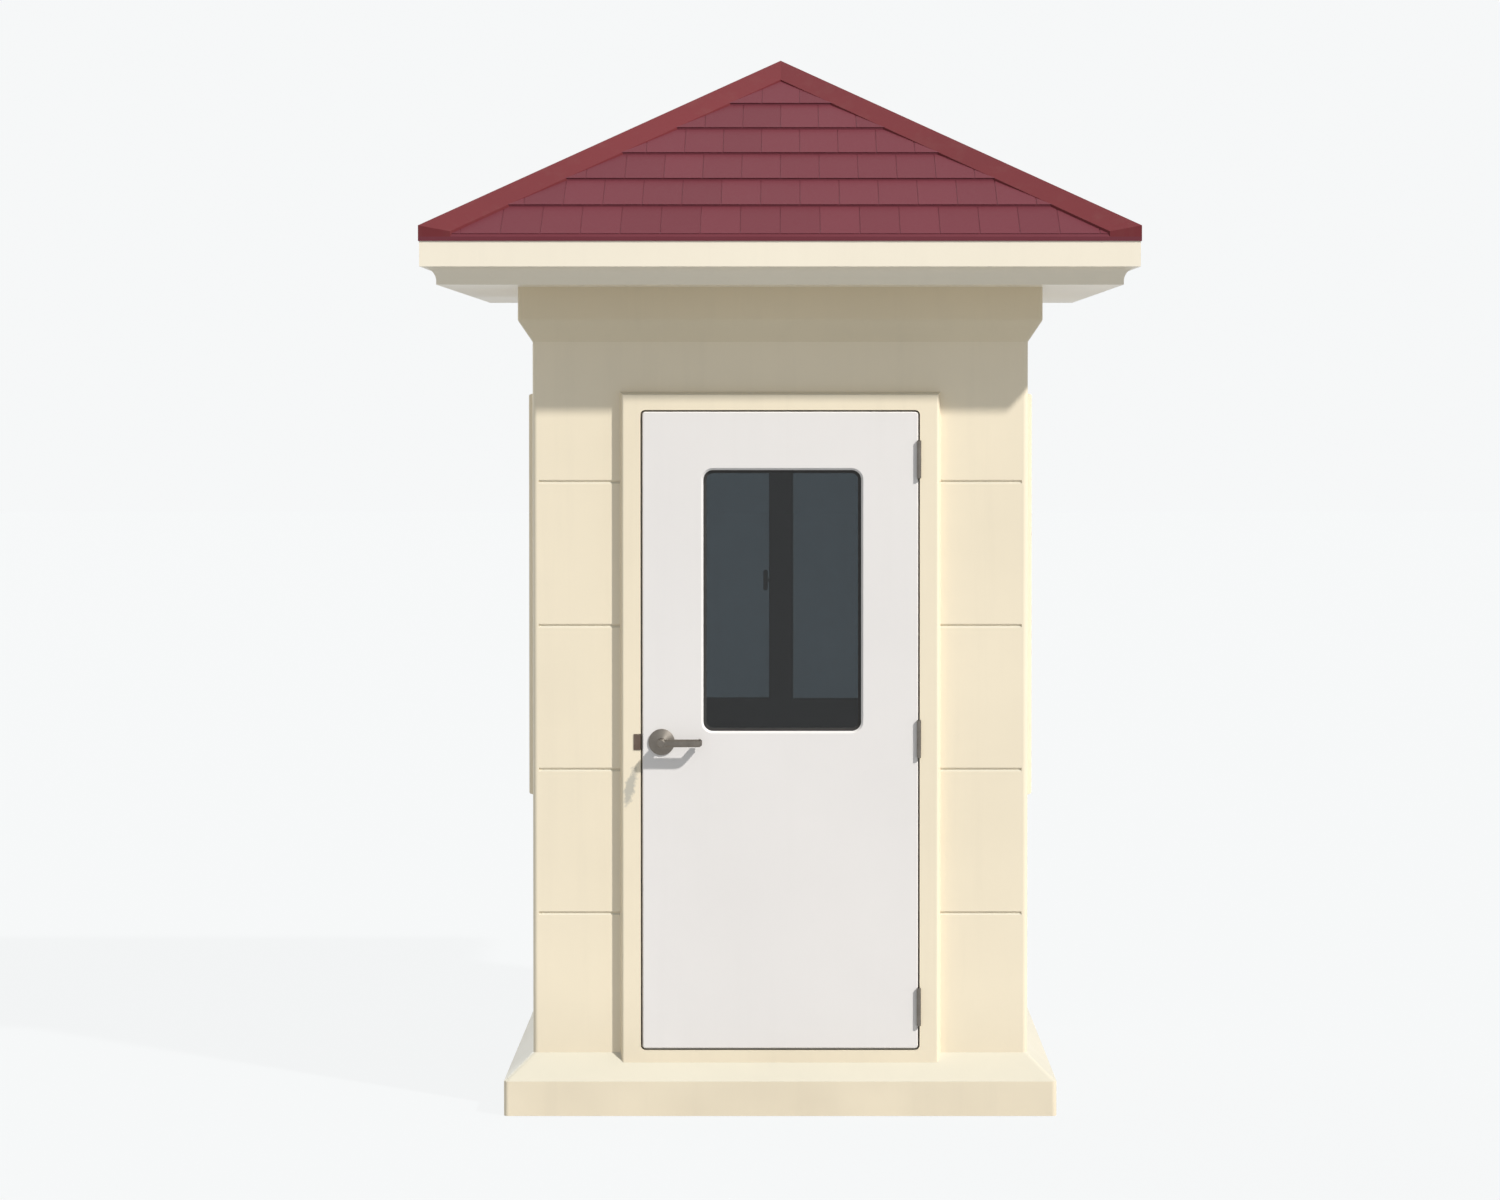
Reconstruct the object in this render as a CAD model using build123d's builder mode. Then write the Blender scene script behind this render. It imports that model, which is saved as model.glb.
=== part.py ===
from build123d import *
import os

# Security guard booth: a moulded fibreglass hut of square plan with a hipped roof,
# one hinged door at the front and a two-sash sliding window in each other wall.
# Millimetres. The front faces -Y, the ground is Z = 0 and the origin is under the middle.

# Wall box: four panels mitred at rounded corners, moulded as courses of large blocks
wall_side = 1440
wall_thickness = 50
wall_corner_radius = 14
wall_height = 2069
course_count = 5
course_lap = 12
joint_width = 11
joint_depth = 5
joint_margin = 18

# Base: a plinth with a sloping skirt on top, and a ledge inside that carries the floor
plinth_projection = 80
plinth_height = 100
skirt_rise = 71
floor_ledge = 30
floor_drop = 11
floor_thickness = 40
floor_clearance = 0.5

# Door leaf and the doorway around it
leaf_width = 800
leaf_thickness = 40
leaf_gap = 5
leaf_corner_radius = 9
leaf_edge_bevel = 3
sill_rise = 11
head_drop = 198
lining_thickness = 20
stop_width = 15

# Raised surround of the doorway and of every window
surround_face = 53
surround_head = 45
surround_projection = 28
surround_draft = 8
surround_edge_radius = 6

# Glazed panel of the door
glass_width = 458
glass_height = 758
glass_top_margin = 169
glass_shift = 6
glass_corner_radius = 28
glass_thickness = 6
gasket_width = 9
gasket_grip = 5
gasket_lip = 4
glass_rim_bevel = 6

# Lever lock: two roses, two levers on one spindle, a latch plate and a strike
lock_rise = 892
lock_backset = 56
rose_radius = 38
rose_edge = 4
rose_height = 14
neck_radius = 12.5
neck_clearance = 0.3
spindle_side = 8
spindle_bore_radius = 10
neck_proud = 5
neck_bevel = 3
lever_height = 22
lever_thickness = 15
lever_length = 118
lever_standoff = 46
lever_bend = 16
lever_return = 36
lever_bevel = 5
plate_thickness = 2
latch_plate_height = 57
latch_plate_width = 24
strike_height = 46
strike_depth = 32
strike_lip = 20
strike_hole_height = 24
strike_hole_depth = 14

# Butt hinges: three knuckles on a fixed pin, the plates let into the leaf and the jamb
hinge_length = 110
hinge_radius = 6
hinge_standoff = 0.5
hinge_pin_radius = 3.5
hinge_pin_clearance = 0.2
knuckle_clearance = 0.5
hinge_plate_depth = 30
hinge_top_inset = 138
hinge_bottom_inset = 122
middle_hinge_share = 0.49
knuckle_count = 3

# Sliding windows: a frame with two sashes on two tracks
window_sill_rise = 774
frame_front = 12
frame_jamb = 25
frame_sill = 45
frame_head = 25
channel_lip = 9
rib_height = 14
rib_thickness = 2
sash_setback = 6
sash_thickness = 22
sash_gap = 4
sash_stile = 55
meeting_stile = 66
sash_bottom_rail = 98
sash_top_rail = 55
pane_thickness = 5
catch_width = 24
catch_height = 76
catch_base = 5
catch_hub_radius = 11
catch_hub_height = 13
catch_arm_thickness = 5
catch_arm_width = 13
catch_arm_reach = 30
catch_handle_length = 68
catch_handle_width = 15
catch_share = 0.48

# Collar at the head of the walls, cornice with its cove, and ceiling
collar_flare_run = 40
collar_flare_rise = 62
collar_band = 96
collar_round = 14
eave_projection = 299
cove_radius = 40
cove_foot = 10
cove_lip = 4
fascia_height = 72
fascia_thickness = 15
soffit_thickness = 12
ceiling_lap = 30
ceiling_thickness = 15

# Hipped roof: four stepped slopes with a turned-down lip, and a cap over each hip
roof_overhang = 3
lip_height = 18
lip_thickness = 22
roof_rise = 556
roof_skin = 15
roof_course_run = 156
roof_butt = 8
eave_bevel = 6
cap_half_width = 64
cap_rise = 26
cap_edge_rise = 9

# Room past a face that a cut runs through
overrun = 20

# Heights and half widths that several pieces share
wall_half = wall_side / 2
wall_inner_half = wall_half - wall_thickness
skirt_top = plinth_height + skirt_rise
wall_top = skirt_top + wall_height
floor_top = skirt_top - floor_drop
ledge_height = floor_top - floor_thickness
opening_half = leaf_width / 2 + leaf_gap
opening_bottom = skirt_top + sill_rise
opening_top = wall_top - head_drop
window_bottom = skirt_top + window_sill_rise
leaf_half = leaf_width / 2
leaf_bottom = opening_bottom + leaf_gap
leaf_top = opening_top - leaf_gap
leaf_height = leaf_top - leaf_bottom
leaf_front = surround_projection
leaf_back = leaf_front - leaf_thickness
surround_half = opening_half + surround_face
surround_top = opening_top + surround_head
surround_bottom = window_bottom - surround_head
lock_along = lock_backset - leaf_half
lock_height = leaf_bottom + lock_rise
soffit_height = wall_top + collar_flare_rise + collar_band
fascia_half = wall_half + eave_projection
fascia_bottom = soffit_height + cove_foot + cove_radius
fascia_top = fascia_bottom + fascia_height
cove_half = fascia_half - cove_lip - cove_radius
roof_half = fascia_half + roof_overhang
eave_height = fascia_top + lip_height
roof_pitch_share = roof_rise / roof_half
roof_reach = roof_half + overrun

sides = {"front": (0, -1), "right": (1, 0), "back": (0, 1), "left": (-1, 0)}
window_sides = ("left", "right", "back")


def face_plane(side, out=0):
    """Plane on the outside of a wall: x to the right along it, y up, z outward."""
    nx, ny = sides[side]
    reach = wall_half + out
    return Plane(origin=(nx * reach, ny * reach, 0), x_dir=(-ny, nx, 0), z_dir=(nx, ny, 0))


def plan_plane(side, height=0):
    """Level plane: x to the right along a wall, y inward from the outside."""
    nx, ny = sides[side]
    return Plane(origin=(0, 0, height), x_dir=(-ny, nx, 0), z_dir=(0, 0, 1))


def section_plane(side, along=0):
    """Upright plane across a wall: x outward from the middle of the booth, y up."""
    nx, ny = sides[side]
    return Plane(origin=(-ny * along, nx * along, 0), x_dir=(nx, ny, 0), z_dir=(ny, -nx, 0))


def panel_plan(side):
    """Plan of one wall panel, mitred through its rounded corners."""
    with BuildSketch(plan_plane(side, skirt_top)) as plan:
        RectangleRounded(wall_side, wall_side, wall_corner_radius)
        Rectangle(2 * wall_inner_half, 2 * wall_inner_half, mode=Mode.SUBTRACT)
        with BuildLine():
            Polyline((0, 0), (-wall_side, -wall_side), (wall_side, -wall_side), close=True)
        make_face(mode=Mode.INTERSECT)
    return plan.sketch


def window_plan(side, out, half, bottom, top):
    """Upright rectangle on a wall, between two heights."""
    with BuildSketch(face_plane(side, out)) as plan:
        with Locations((0, (bottom + top) / 2)):
            Rectangle(2 * half, top - bottom)
    return plan.sketch


def joint_cutter(side, start, end, heights):
    """Wedges that cut the block joints of a wall from one place along it to another."""
    with BuildPart() as cutter:
        with BuildSketch(section_plane(side, end)):
            for height in heights:
                with BuildLine():
                    Polyline(
                        (wall_half - joint_depth, height),
                        (wall_half, height + joint_width / 2),
                        (wall_half + overrun, height + joint_width / 2),
                        (wall_half + overrun, height - joint_width / 2),
                        (wall_half, height - joint_width / 2),
                        close=True,
                    )
                make_face()
        extrude(amount=end - start)
    return cutter.part


def raised_band(side, bottom, top):
    """Block on a wall as wide as a surround, with drafted sides and rounded outer edges."""
    face = wall_half + surround_projection
    band_half = surround_half + surround_draft
    with BuildPart() as band:
        with BuildSketch(plan_plane(side, bottom - surround_draft)):
            with BuildLine():
                FilletPolyline(
                    (-band_half, -wall_half),
                    (-surround_half, -face),
                    (surround_half, -face),
                    (band_half, -wall_half),
                    radius=surround_edge_radius,
                )
                Line((band_half, -wall_half), (-band_half, -wall_half))
            make_face()
        extrude(amount=top - bottom + 2 * surround_draft)
        with BuildSketch(section_plane(side, band_half)):
            with BuildLine():
                FilletPolyline(
                    (wall_half, bottom - surround_draft),
                    (face, bottom),
                    (face, top),
                    (wall_half, top + surround_draft),
                    radius=surround_edge_radius,
                )
                Line((wall_half, top + surround_draft), (wall_half, bottom - surround_draft))
            make_face()
        extrude(amount=2 * band_half, mode=Mode.INTERSECT)
    return band.part


def square_form(points):
    """Solid of square plan whose four sides share one outline of (half width, height)."""
    outline = [*points, *[(-x, y) for x, y in reversed(points) if x > 0]]
    with BuildPart() as form:
        for side, mode in (("front", Mode.ADD), ("right", Mode.INTERSECT)):
            with BuildSketch(section_plane(side)):
                with BuildLine():
                    Polyline(*outline, close=True)
                make_face()
            extrude(amount=roof_reach, both=True, mode=mode)
    return form.part


os.makedirs("parts", exist_ok=True)

course_height = (wall_height + 2 * course_lap) / course_count
joint_heights = [skirt_top - course_lap + n * course_height for n in range(1, course_count)]

# Base skirt: plinth and sloping skirt in one ring, stepped inside for the floor
with BuildPart() as base_skirt:
    plinth_side = wall_side + 2 * plinth_projection
    with BuildSketch(Plane.XY):
        RectangleRounded(plinth_side, plinth_side, wall_corner_radius)
    extrude(amount=plinth_height)
    with BuildSketch(Plane.XY.offset(plinth_height)):
        RectangleRounded(plinth_side, plinth_side, wall_corner_radius)
    with BuildSketch(Plane.XY.offset(skirt_top)):
        RectangleRounded(wall_side, wall_side, wall_corner_radius)
    loft()
    with BuildSketch(Plane.XY.offset(ledge_height)):
        Rectangle(2 * wall_inner_half, 2 * wall_inner_half)
    extrude(amount=skirt_top - ledge_height + overrun, mode=Mode.SUBTRACT)
    with BuildSketch(Plane.XY.offset(-overrun)):
        Rectangle(2 * (wall_inner_half - floor_ledge), 2 * (wall_inner_half - floor_ledge))
    extrude(amount=ledge_height + 2 * overrun, mode=Mode.SUBTRACT)
base_skirt.part.label = "base_skirt"
export_step(base_skirt.part, "parts/base_skirt.step")

# Floor deck, laid on the ledge
with BuildPart() as floor_deck:
    deck_side = 2 * (wall_inner_half - floor_clearance)
    with BuildSketch(Plane.XY.offset(ledge_height)):
        Rectangle(deck_side, deck_side)
    extrude(amount=floor_thickness)
floor_deck.part.label = "floor_deck"
export_step(floor_deck.part, "parts/floor_deck.step")

# Front wall: a pier on each side of the doorway, and the panel over it
lining_half = opening_half + lining_thickness
lining_top = opening_top + lining_thickness
pier_end = wall_half - joint_margin
pier_start = surround_half + surround_draft
for hand, sign in (("left", -1), ("right", 1)):
    ends = sorted((sign * pier_start, sign * pier_end))
    pier_joints = joint_cutter("front", *ends, joint_heights)
    with BuildPart() as pier:
        extrude(panel_plan("front"), amount=wall_height)
        split(bisect_by=Plane.YZ.offset(sign * lining_half), keep=Keep.TOP if sign > 0 else Keep.BOTTOM)
        add(pier_joints, mode=Mode.SUBTRACT)
    pier.part.label = f"front_wall_{hand}"
    export_step(pier.part, f"parts/front_wall_{hand}.step")

with BuildPart() as front_wall_head:
    extrude(window_plan("front", 0, lining_half, lining_top, wall_top), amount=-wall_thickness)
front_wall_head.part.label = "front_wall_head"
export_step(front_wall_head.part, "parts/front_wall_head.step")

# Side and back walls, each with a window opening
for side in window_sides:
    low = [z for z in joint_heights if not surround_bottom < z < surround_top]
    high = [z for z in joint_heights if surround_bottom < z < surround_top]
    cutters = [joint_cutter(side, -pier_end, pier_end, low)] if low else []
    if high:
        cutters.append(joint_cutter(side, -pier_end, -pier_start, high))
        cutters.append(joint_cutter(side, pier_start, pier_end, high))
    opening = window_plan(side, overrun, opening_half, window_bottom, opening_top)
    with BuildPart() as wall:
        extrude(panel_plan(side), amount=wall_height)
        extrude(opening, amount=-(wall_thickness + 2 * overrun), mode=Mode.SUBTRACT)
        add(cutters, mode=Mode.SUBTRACT)
    wall.part.label = f"{side}_wall"
    export_step(wall.part, f"parts/{side}_wall.step")

# Door surround: the raised band, the lining through the wall and the stop behind the leaf
hinge_heights = [leaf_top - hinge_top_inset, leaf_bottom + hinge_bottom_inset]
hinge_heights.append(hinge_heights[1] + middle_hinge_share * (hinge_heights[0] - hinge_heights[1]))
stop_front = leaf_back - leaf_gap
door_band = raised_band("front", surround_draft, surround_top)
with BuildPart() as door_surround:
    add(door_band)
    with BuildSketch(section_plane("front", pier_start + overrun)):
        with BuildLine():
            Polyline(
                (wall_half - overrun, skirt_top),
                (wall_half, skirt_top),
                (wall_half + plinth_projection, plinth_height),
                (wall_half + plinth_projection, -overrun),
                (wall_half - overrun, -overrun),
                close=True,
            )
        make_face()
    extrude(amount=2 * (pier_start + overrun), mode=Mode.SUBTRACT)
    extrude(window_plan("front", 0, lining_half, skirt_top, lining_top), amount=-wall_thickness)
    with BuildSketch(face_plane("front", surround_projection + overrun)):
        with Locations((0, (opening_bottom + opening_top) / 2)):
            Rectangle(2 * opening_half, opening_top - opening_bottom)
        fillet(vertices().group_by(Axis.Z)[0], leaf_corner_radius + leaf_gap)
    extrude(amount=-(surround_projection + overrun - stop_front), mode=Mode.SUBTRACT)
    with BuildSketch(face_plane("front", stop_front + overrun)):
        with Locations((0, (opening_bottom + opening_top) / 2)):
            Rectangle(2 * (opening_half - stop_width), opening_top - opening_bottom - 2 * stop_width)
    extrude(amount=-(wall_thickness + stop_front + 2 * overrun), mode=Mode.SUBTRACT)
    for height in hinge_heights:
        with BuildSketch(plan_plane("front", height - hinge_length / 2)):
            with Locations((opening_half, -wall_half - leaf_front + hinge_plate_depth / 2)):
                Rectangle(2 * plate_thickness, hinge_plate_depth)
        extrude(amount=hinge_length, mode=Mode.SUBTRACT)
    with BuildSketch(plan_plane("front", lock_height - strike_height / 2)):
        with Locations((-opening_half, -wall_half - leaf_front + strike_depth / 2)):
            Rectangle(2 * plate_thickness, strike_depth)
    extrude(amount=strike_height, mode=Mode.SUBTRACT)
door_surround.part.label = "door_surround"
export_step(door_surround.part, "parts/door_surround.step")

# Window surrounds: raised bands around the openings
for side in window_sides:
    opening = window_plan(side, surround_projection + overrun, opening_half, window_bottom, opening_top)
    window_band = raised_band(side, surround_bottom, surround_top)
    with BuildPart() as surround:
        add(window_band)
        extrude(opening, amount=-(surround_projection + 2 * overrun), mode=Mode.SUBTRACT)
    surround.part.label = f"{side}_window_surround"
    export_step(surround.part, f"parts/{side}_window_surround.step")

# Window frames, each with its pair of overlapping sashes and their panes
frame_half = opening_half - frame_jamb
track_bottom = window_bottom + frame_sill
track_top = opening_top - frame_head
sash_fronts = (frame_front - sash_setback, frame_front - sash_setback - sash_thickness - sash_gap)
sash_spans = ((-meeting_stile / 2, frame_half), (-frame_half, meeting_stile / 2))
light_spans = (
    (meeting_stile / 2, frame_half - sash_stile),
    (sash_stile - frame_half, -meeting_stile / 2),
)
light_bottom = track_bottom + sash_bottom_rail
light_top = track_top - sash_top_rail
for side in window_sides:
    with BuildPart() as frame:
        extrude(
            window_plan(side, frame_front, opening_half, window_bottom, opening_top),
            amount=-(frame_front + wall_thickness),
        )
        extrude(
            window_plan(
                side,
                frame_front + overrun,
                frame_half - channel_lip,
                track_bottom + channel_lip,
                track_top - channel_lip,
            ),
            amount=-(frame_front + wall_thickness + 2 * overrun),
            mode=Mode.SUBTRACT,
        )
        extrude(
            window_plan(side, sash_fronts[0], frame_half, track_bottom, track_top),
            amount=-(2 * sash_thickness + sash_gap),
            mode=Mode.SUBTRACT,
        )
        rib_front = sash_fronts[0] - sash_thickness - (sash_gap - rib_thickness) / 2
        extrude(
            window_plan(side, rib_front, frame_half, track_bottom, track_bottom + rib_height),
            amount=-rib_thickness,
        )
        extrude(
            window_plan(side, rib_front, frame_half, track_top - rib_height, track_top),
            amount=-rib_thickness,
        )
    frame.part.label = f"{side}_window_frame"
    export_step(frame.part, f"parts/{side}_window_frame.step")

    with BuildPart() as sashes:
        for front, (start, end), (light_start, light_end) in zip(sash_fronts, sash_spans, light_spans):
            with BuildSketch(face_plane(side, front)):
                with Locations(((start + end) / 2, (track_bottom + track_top) / 2)):
                    Rectangle(end - start, track_top - track_bottom)
                with Locations(((light_start + light_end) / 2, (light_bottom + light_top) / 2)):
                    Rectangle(light_end - light_start, light_top - light_bottom, mode=Mode.SUBTRACT)
            extrude(amount=-sash_thickness)
    sashes.part.label = f"{side}_window_sashes"
    export_step(sashes.part, f"parts/{side}_window_sashes.step")

    with BuildPart() as panes:
        for front, (light_start, light_end) in zip(sash_fronts, light_spans):
            with BuildSketch(face_plane(side, front - (sash_thickness - pane_thickness) / 2)):
                with Locations(((light_start + light_end) / 2, (light_bottom + light_top) / 2)):
                    Rectangle(light_end - light_start, light_top - light_bottom)
            extrude(amount=-pane_thickness)
    panes.part.label = f"{side}_window_glass"
    export_step(panes.part, f"parts/{side}_window_glass.step")

# Window catches: a base on each inner meeting stile, a hub, and an arm with an upright handle
catch_height_above = track_bottom + catch_share * (track_top - track_bottom)
with BuildPart() as window_catches:
    for side in window_sides:
        catch_face = sash_fronts[1] - sash_thickness
        place = (meeting_stile / 2 - catch_width / 2, catch_height_above)
        with BuildSketch(face_plane(side, catch_face)):
            with Locations(place):
                SlotOverall(catch_height, catch_width, rotation=90)
        extrude(amount=-catch_base)
        with BuildSketch(face_plane(side, catch_face - catch_base)):
            with Locations(place):
                with Locations((catch_arm_reach / 2, 0)):
                    Rectangle(catch_arm_reach, catch_arm_width)
                with Locations((catch_arm_reach, 0)):
                    SlotOverall(catch_handle_length, catch_handle_width, rotation=90)
        extrude(amount=-catch_arm_thickness)
        with BuildSketch(face_plane(side, catch_face - catch_base)):
            with Locations(place):
                Circle(catch_hub_radius)
        extrude(amount=-(catch_hub_height - catch_base))
window_catches.part.label = "window_catches"
export_step(window_catches.part, "parts/window_catches.step")

# Collar: the wall heads flare out and rise to the soffit
with BuildPart() as collar:
    collar_side = wall_side + 2 * collar_flare_run
    collar_crest = wall_top + collar_flare_rise
    with BuildSketch(Plane.XY.offset(wall_top)):
        RectangleRounded(wall_side, wall_side, wall_corner_radius)
    with BuildSketch(Plane.XY.offset(collar_crest)):
        RectangleRounded(collar_side, collar_side, wall_corner_radius)
    loft()
    with BuildSketch(Plane.XY.offset(collar_crest)):
        RectangleRounded(collar_side, collar_side, wall_corner_radius)
    extrude(amount=collar_band)
    fillet(edges().filter_by_position(Axis.Z, collar_crest, collar_crest), collar_round)
    with BuildSketch(Plane.XY.offset(wall_top - overrun)):
        Rectangle(2 * wall_inner_half, 2 * wall_inner_half)
    extrude(amount=soffit_height - wall_top + 2 * overrun, mode=Mode.SUBTRACT)
collar.part.label = "collar"
export_step(collar.part, "parts/collar.step")

# Cornice: soffit, cove and fascia in one hollow ring
with BuildPart() as cornice:
    for side, mode in (("front", Mode.ADD), ("right", Mode.INTERSECT)):
        with BuildSketch(section_plane(side)):
            with BuildLine():
                Polyline(
                    (0, soffit_height),
                    (cove_half, soffit_height),
                    (cove_half, soffit_height + cove_foot),
                )
                RadiusArc(
                    (cove_half, soffit_height + cove_foot),
                    (cove_half + cove_radius, fascia_bottom),
                    cove_radius,
                )
                Polyline(
                    (cove_half + cove_radius, fascia_bottom),
                    (fascia_half, fascia_bottom),
                    (fascia_half, fascia_top),
                    (0, fascia_top),
                )
                mirror(about=Plane.YZ)
            make_face()
        extrude(amount=roof_reach, both=True, mode=mode)
    with BuildSketch(Plane.XY.offset(soffit_height - overrun)):
        Rectangle(2 * wall_inner_half, 2 * wall_inner_half)
    extrude(amount=soffit_thickness + 2 * overrun, mode=Mode.SUBTRACT)
    with BuildSketch(Plane.XY.offset(soffit_height + soffit_thickness)):
        Rectangle(2 * (cove_half - fascia_thickness), 2 * (cove_half - fascia_thickness))
    extrude(amount=fascia_top - soffit_height, mode=Mode.SUBTRACT)
    with BuildSketch(Plane.XY.offset(fascia_bottom + soffit_thickness)):
        Rectangle(2 * (fascia_half - fascia_thickness), 2 * (fascia_half - fascia_thickness))
    extrude(amount=fascia_top - fascia_bottom, mode=Mode.SUBTRACT)
cornice.part.label = "cornice"
export_step(cornice.part, "parts/cornice.step")

# Ceiling panel, laid on the inner margin of the soffit
with BuildPart() as ceiling_panel:
    ceiling_side = 2 * (wall_inner_half + ceiling_lap)
    with BuildSketch(Plane.XY.offset(soffit_height + soffit_thickness)):
        Rectangle(ceiling_side, ceiling_side)
    extrude(amount=ceiling_thickness)
ceiling_panel.part.label = "ceiling_panel"
export_step(ceiling_panel.part, "parts/ceiling_panel.step")

# Roof slopes: courses that step down from the ridge, over a plain underside and a lip
steps = [
    (roof_half, eave_height - eave_bevel),
    (roof_half - eave_bevel, eave_height + eave_bevel * roof_pitch_share),
]
for n in range(1, int(roof_half / roof_course_run)):
    run = roof_half - n * roof_course_run
    plane_height = eave_height + n * roof_course_run * roof_pitch_share
    steps += [(run, plane_height), (run, plane_height + roof_butt)]
apex_height = eave_height + roof_rise
lip_run = roof_half - lip_thickness
for side in sides:
    with BuildPart() as slope:
        with BuildSketch(section_plane(side)):
            with BuildLine():
                Polyline(
                    (roof_half, fascia_top),
                    *steps,
                    (0, apex_height),
                    (0, apex_height - roof_skin),
                    (lip_run, eave_height + lip_thickness * roof_pitch_share - roof_skin),
                    (lip_run, fascia_top),
                    close=True,
                )
            make_face()
        extrude(amount=roof_reach, both=True)
        with BuildSketch(plan_plane(side, soffit_height)):
            with BuildLine():
                Polyline((0, 0), (-roof_reach, -roof_reach), (roof_reach, -roof_reach), close=True)
            make_face()
        extrude(amount=apex_height, mode=Mode.INTERSECT)
    slope.part.label = f"{side}_roof_slope"
    export_step(slope.part, f"parts/{side}_roof_slope.step")

# Hip caps: tented strips that run down each hip, seated on the courses and mitred at the apex
roof_form = square_form(
    [
        (0, fascia_top - overrun),
        (roof_reach, fascia_top - overrun),
        (roof_reach, eave_height - eave_bevel),
        *steps,
        (0, apex_height),
    ]
)
hip_fall_share = roof_pitch_share / 2**0.5
hip_length = roof_reach * (2 + roof_pitch_share**2) ** 0.5
cap_edge_height = apex_height - cap_half_width * hip_fall_share
hip_names = {"front": "front_left", "right": "front_right", "back": "back_right", "left": "back_left"}
for side, name in hip_names.items():
    nx, ny = sides[side]
    hip_plane = Plane(origin=(0, 0, 0), x_dir=(nx - ny, nx + ny, 0), z_dir=(nx + ny, ny - nx, 0))
    with BuildPart() as hip_cap:
        with BuildSketch(hip_plane):
            with BuildLine():
                Polyline(
                    (0, apex_height + cap_rise),
                    (cap_half_width, cap_edge_height + cap_edge_rise),
                    (cap_half_width, cap_edge_height - overrun),
                    (-cap_half_width, cap_edge_height - overrun),
                    (-cap_half_width, cap_edge_height + cap_edge_rise),
                    close=True,
                )
            make_face()
        extrude(amount=hip_length, dir=(nx + ny, ny - nx, -roof_pitch_share))
        with BuildSketch(plan_plane(side, fascia_top)):
            Rectangle(roof_half, roof_half, align=(Align.MAX, Align.MAX))
        extrude(amount=apex_height, mode=Mode.INTERSECT)
        add(roof_form, mode=Mode.SUBTRACT)
    hip_cap.part.label = f"{name}_hip_cap"
    export_step(hip_cap.part, f"parts/{name}_hip_cap.step")

# Door leaf: a flat panel with a glazed opening, a spindle bore and seats for the plates
glass_top = leaf_top - glass_top_margin
glass_centre = (glass_shift, glass_top - glass_height / 2)
leaf_middle = (leaf_front + leaf_back) / 2
with BuildPart() as door_leaf:
    with BuildSketch(face_plane("front", leaf_back)):
        with Locations((0, (leaf_bottom + leaf_top) / 2)):
            Rectangle(leaf_width, leaf_height)
        fillet(vertices().group_by(Axis.Z)[0], leaf_corner_radius)
    extrude(amount=leaf_thickness)
    chamfer(faces().sort_by(Axis.Y)[0].edges(), leaf_edge_bevel)
    with BuildSketch(face_plane("front", leaf_back)):
        with Locations(glass_centre):
            RectangleRounded(glass_width, glass_height, glass_corner_radius)
    extrude(amount=leaf_thickness, mode=Mode.SUBTRACT)
    chamfer(faces().sort_by(Axis.Y)[0].inner_wires()[0].edges(), glass_rim_bevel)
    with BuildSketch(face_plane("front", leaf_back - overrun)):
        with Locations((lock_along, lock_height)):
            Circle(spindle_bore_radius)
    extrude(amount=leaf_thickness + 2 * overrun, mode=Mode.SUBTRACT)
    for height in hinge_heights:
        with BuildSketch(plan_plane("front", height - hinge_length / 2)):
            with Locations((leaf_half, -wall_half - leaf_front + hinge_plate_depth / 2)):
                Rectangle(2 * plate_thickness, hinge_plate_depth)
        extrude(amount=hinge_length, mode=Mode.SUBTRACT)
    with BuildSketch(plan_plane("front", lock_height - latch_plate_height / 2)):
        with Locations((-leaf_half, -wall_half - leaf_middle)):
            Rectangle(2 * plate_thickness, latch_plate_width)
    extrude(amount=latch_plate_height, mode=Mode.SUBTRACT)
door_leaf.part.label = "door_leaf"
export_step(door_leaf.part, "parts/door_leaf.step")

# Door glass, and the gasket that grips its edge
with BuildPart() as door_glass:
    with BuildSketch(face_plane("front", leaf_middle - glass_thickness / 2)):
        with Locations(glass_centre):
            RectangleRounded(
                glass_width - 2 * (gasket_width - gasket_grip),
                glass_height - 2 * (gasket_width - gasket_grip),
                glass_corner_radius - gasket_width + gasket_grip,
            )
    extrude(amount=glass_thickness)
door_glass.part.label = "door_glass"
export_step(door_glass.part, "parts/door_glass.step")

with BuildPart() as door_gasket:
    with BuildSketch(face_plane("front", leaf_middle - glass_thickness / 2 - gasket_lip)):
        with Locations(glass_centre):
            RectangleRounded(glass_width, glass_height, glass_corner_radius)
            RectangleRounded(
                glass_width - 2 * gasket_width,
                glass_height - 2 * gasket_width,
                glass_corner_radius - gasket_width,
                mode=Mode.SUBTRACT,
            )
    extrude(amount=glass_thickness + 2 * gasket_lip)
    add(door_glass.part, mode=Mode.SUBTRACT)
door_gasket.part.label = "door_gasket"
export_step(door_gasket.part, "parts/door_gasket.step")

# Roses: turned covers on both faces of the leaf, bored for the lever necks
lock_axis = Axis((lock_along, 0, lock_height), (0, 1, 0))
leaf_mirror = Plane(origin=(0, -wall_half - leaf_middle, 0), z_dir=(0, -1, 0))
rose_bore = neck_radius + neck_clearance
rose_seat = -wall_half - leaf_front
with BuildPart() as outer_rose:
    with BuildSketch(plan_plane("front", lock_height)):
        with BuildLine():
            Polyline(
                (lock_along + rose_bore, rose_seat),
                (lock_along + rose_radius, rose_seat),
                (lock_along + rose_radius, rose_seat - rose_edge),
                (lock_along + rose_bore, rose_seat - rose_height),
                close=True,
            )
        make_face()
    revolve(axis=lock_axis)
outer_rose.part.label = "outer_rose"
export_step(outer_rose.part, "parts/outer_rose.step")

with BuildPart() as inner_rose:
    add(mirror(outer_rose.part, about=leaf_mirror, mode=Mode.PRIVATE))
inner_rose.part.label = "inner_rose"
export_step(inner_rose.part, "parts/inner_rose.step")

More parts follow.
